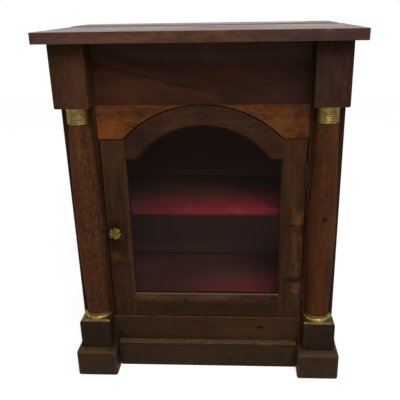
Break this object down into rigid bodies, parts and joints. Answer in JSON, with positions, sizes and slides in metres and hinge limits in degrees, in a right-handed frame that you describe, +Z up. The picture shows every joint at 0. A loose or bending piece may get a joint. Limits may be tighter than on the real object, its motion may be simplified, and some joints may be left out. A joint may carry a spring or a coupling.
{
  "type": "display cabinet",
  "caption": "Low wooden display cabinet with an arched glazed door between half-columns with brass capitals, cloth-lined shelf and floor, butt hinges and a turning latch knob.",
  "frame": {"origin": "on the floor, in the middle of the width and of the depth of the whole cabinet", "axes": "+X to the right seen from the front, +Y from the front to the back, +Z up"},
  "size_m": [0.712, 0.44, 0.9],
  "materials": {
    "walnut": "dark red-brown polish, worn",
    "dark_walnut": "very dark brown polish, worn",
    "light_walnut": "orange-brown polish",
    "bare_wood": "unpolished, dark with age",
    "aged_brass": "aged, slightly dull",
    "dark_steel": "dark with age",
    "glass": "clear",
    "red_cloth": "plain red cloth"
  },
  "bodies": {
    "carcass": {"back_nails": "dark_steel", "back_plank_1": "bare_wood", "back_plank_2": "bare_wood", "back_plank_3": "bare_wood", "back_plank_4": "bare_wood", "back_top_rail": "bare_wood", "cabinet_screws": "dark_steel", "floor_board": "bare_wood", "floor_cleats": "bare_wood", "floor_cloth": "red_cloth", "frieze_board": "dark_walnut", "hinge_pins": "dark_steel", "latch_keeper": "aged_brass", "left_base_plate": "aged_brass", "left_base_ring": "aged_brass", "left_capital": "aged_brass", "left_column": "walnut", "left_frieze_block": "walnut", "left_front_foot": "dark_walnut", "left_front_stile": "walnut", "left_pedestal": "dark_walnut", "left_side_board": "dark_walnut", "left_side_plinth": "dark_walnut", "left_spandrel": "light_walnut", "lower_hinge_cabinet_leaf": "dark_steel", "lower_rail": "dark_walnut", "plinth_board": "dark_walnut", "right_base_plate": "aged_brass", "right_base_ring": "aged_brass", "right_capital": "aged_brass", "right_column": "walnut", "right_frieze_block": "walnut", "right_front_foot": "dark_walnut", "right_front_stile": "walnut", "right_pedestal": "dark_walnut", "right_side_board": "dark_walnut", "right_side_plinth": "dark_walnut", "right_spandrel": "light_walnut", "shelf": "bare_wood", "shelf_cleats": "bare_wood", "shelf_cloth": "red_cloth", "top_back_strip": "walnut", "top_board": "walnut", "top_cleats": "bare_wood", "upper_hinge_cabinet_leaf": "dark_steel"},
    "door": {"door_right_stile": "walnut", "door_left_stile": "walnut", "door_bottom_rail": "walnut", "door_arch_rail": "walnut", "door_glass": "glass", "straight_glazing_beads": "walnut", "arched_glazing_bead": "walnut", "lower_hinge_door_leaf": "dark_steel", "upper_hinge_door_leaf": "dark_steel", "door_hinge_screws": "dark_steel", "knob_rose": "aged_brass"},
    "latch": {"knob": "aged_brass", "knob_spindle": "dark_steel", "latch_tongue": "dark_steel", "latch_nut": "dark_steel"}
  },
  "joints": [
    {"name": "door_hinge", "type": "hinge", "parent": "carcass", "child": "door", "pos_m": [0.251, -0.1392, 0.2], "axis": [0, 0, 1], "range_deg": [0, 95]},
    {"name": "knob_turn", "type": "hinge", "parent": "door", "child": "latch", "pos_m": [-0.226, -0.137, 0.4025], "axis": [0, 1, 0], "range_deg": [0, 90]}
  ]
}
